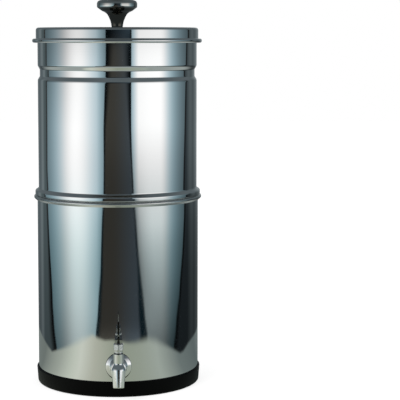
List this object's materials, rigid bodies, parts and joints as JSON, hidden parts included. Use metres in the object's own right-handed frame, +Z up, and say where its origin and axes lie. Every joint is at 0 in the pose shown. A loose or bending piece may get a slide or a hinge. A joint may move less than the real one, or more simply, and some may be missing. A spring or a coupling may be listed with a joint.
{
  "type": "gravity water filter with tap",
  "caption": "Countertop gravity water filter: stacked polished steel chambers on a rubber base ring, lift-off lid with knob, filter candles inside and a sprung lever tap.",
  "frame": {"origin": "on the chambers' axis, in the plane that the base ring stands on", "axes": "+Z up along the chambers' axis; -Y towards the user, the side the tap stands out on; +X to the user's right"},
  "size_m": [0.2264, 0.2661, 0.5143],
  "materials": {
    "polished_steel": "mirror-polished stainless sheet",
    "chrome_knob": "polished",
    "chrome_tap": "chrome plate on brass",
    "chrome_lever": "chrome plate",
    "black_rubber": "smooth moulded",
    "fastener_steel": "bright",
    "white_ceramic": "unglazed",
    "carbon_black": "pressed carbon",
    "white_plastic": "moulded"
  },
  "bodies": {
    "lower_unit": {"lower_chamber": "polished_steel", "base_ring": "black_rubber", "tap_body": "chrome_tap", "tap_bonnet": "chrome_tap", "tap_outer_washer": "black_rubber", "tap_inner_washer": "black_rubber", "tap_steel_washer": "fastener_steel", "tap_nut": "fastener_steel", "bonnet_seal": "black_rubber", "stem_seal_ring": "black_rubber", "gland_washer": "fastener_steel", "stem_spring": "fastener_steel"},
    "upper_unit": {"upper_chamber": "polished_steel", "candle_shell_left": "white_ceramic", "candle_shell_right": "white_ceramic", "candle_core_left": "carbon_black", "candle_core_right": "carbon_black", "candle_base_left": "white_plastic", "candle_base_right": "white_plastic", "candle_washer_left": "black_rubber", "candle_washer_right": "black_rubber", "candle_nut_left": "white_plastic", "candle_nut_right": "white_plastic", "blanking_plug_front": "white_plastic", "blanking_plug_rear": "white_plastic", "plug_washer_front": "black_rubber", "plug_washer_rear": "black_rubber", "plug_nut_front": "white_plastic", "plug_nut_rear": "white_plastic"},
    "lid": {"lid_shell": "polished_steel", "lid_knob": "chrome_knob", "knob_gasket": "black_rubber", "knob_washer": "fastener_steel", "knob_screw": "fastener_steel"},
    "stem": {"valve_stem": "fastener_steel", "valve_seal": "black_rubber"},
    "lever": {"tap_lever": "chrome_lever", "lever_pin": "fastener_steel"}
  },
  "joints": [
    {"name": "upper_lift", "type": "slide", "parent": "lower_unit", "child": "upper_unit", "axis": [0, 0, 1], "range_m": [0, 0.12]},
    {"name": "lid_lift", "type": "slide", "parent": "upper_unit", "child": "lid", "axis": [0, 0, 1], "range_m": [0, 0.12]},
    {"name": "stem_lift", "type": "slide", "parent": "lower_unit", "child": "stem", "axis": [0, 0, 1], "range_m": [0, 0.004], "stiffness_N_per_m": 1200, "springref_m": -0.0005, "deforming": ["stem_spring"]},
    {"name": "lever_tip", "type": "hinge", "parent": "stem", "child": "lever", "pos_m": [0, -0.142, 0.0837], "axis": [1, 0, 0], "range_deg": [0, 75]}
  ],
  "couplings": [
    {"joint": "lever_tip", "follows": "stem_lift", "rad_per_m": 327.24}
  ]
}
